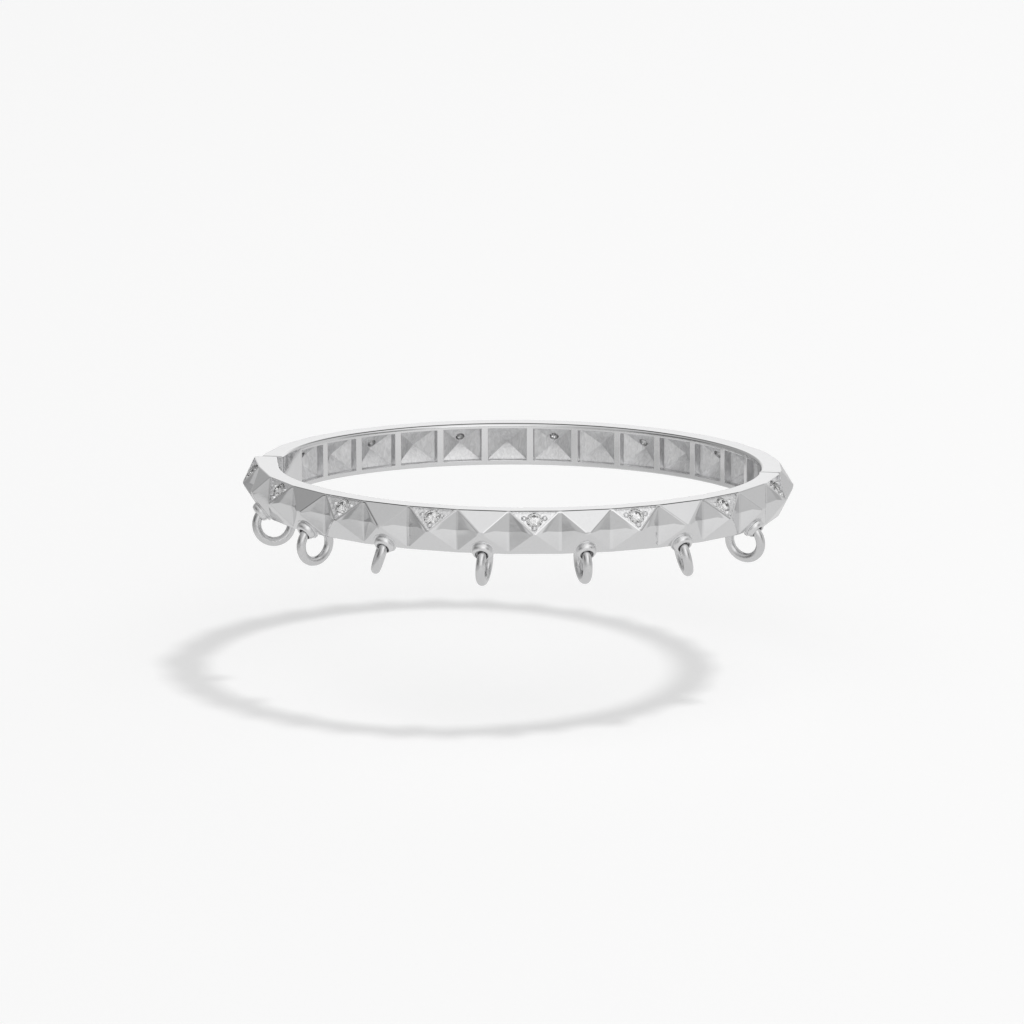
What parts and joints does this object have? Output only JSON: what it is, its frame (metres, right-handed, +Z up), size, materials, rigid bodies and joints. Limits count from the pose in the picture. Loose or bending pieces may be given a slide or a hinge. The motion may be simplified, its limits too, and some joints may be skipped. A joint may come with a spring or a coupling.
{
  "type": "hinged cuff bracelet",
  "caption": "Oval bangle in two hinged halves, with pyramid studs outside, pierced windows inside, small set stones, and jump rings hanging from eyes along the front half.",
  "frame": {"origin": "middle of the wrist opening, at half of the band's height", "axes": "+X along the oval's length from the clasp to the hinge, -Y to the front half with the jump rings, +Z up"},
  "size_m": [0.0662, 0.0584, 0.0094],
  "materials": {
    "white_metal": "high polish",
    "pin_metal": "plain",
    "stone": "cut and polished"
  },
  "bodies": {
    "back": {"back_half": "white_metal", "hinge_pin": "pin_metal", "clasp_tongue": "pin_metal", "back_stone_1": "stone", "back_stone_2": "stone", "back_stone_3": "stone", "back_stone_4": "stone", "back_stone_5": "stone", "back_stone_6": "stone", "back_stone_7": "stone"},
    "front": {"front_half": "white_metal", "jump_ring_1": "white_metal", "jump_ring_2": "white_metal", "jump_ring_3": "white_metal", "jump_ring_4": "white_metal", "jump_ring_5": "white_metal", "jump_ring_6": "white_metal", "jump_ring_7": "white_metal", "front_stone_1": "stone", "front_stone_2": "stone", "front_stone_3": "stone", "front_stone_4": "stone", "front_stone_5": "stone", "front_stone_6": "stone", "front_stone_7": "stone", "front_stone_8": "stone"}
  },
  "joints": [
    {"name": "hinge", "type": "hinge", "parent": "back", "child": "front", "pos_m": [0.0311, 0, 0], "axis": [0, 0, 1], "range_deg": [0, 60]}
  ]
}
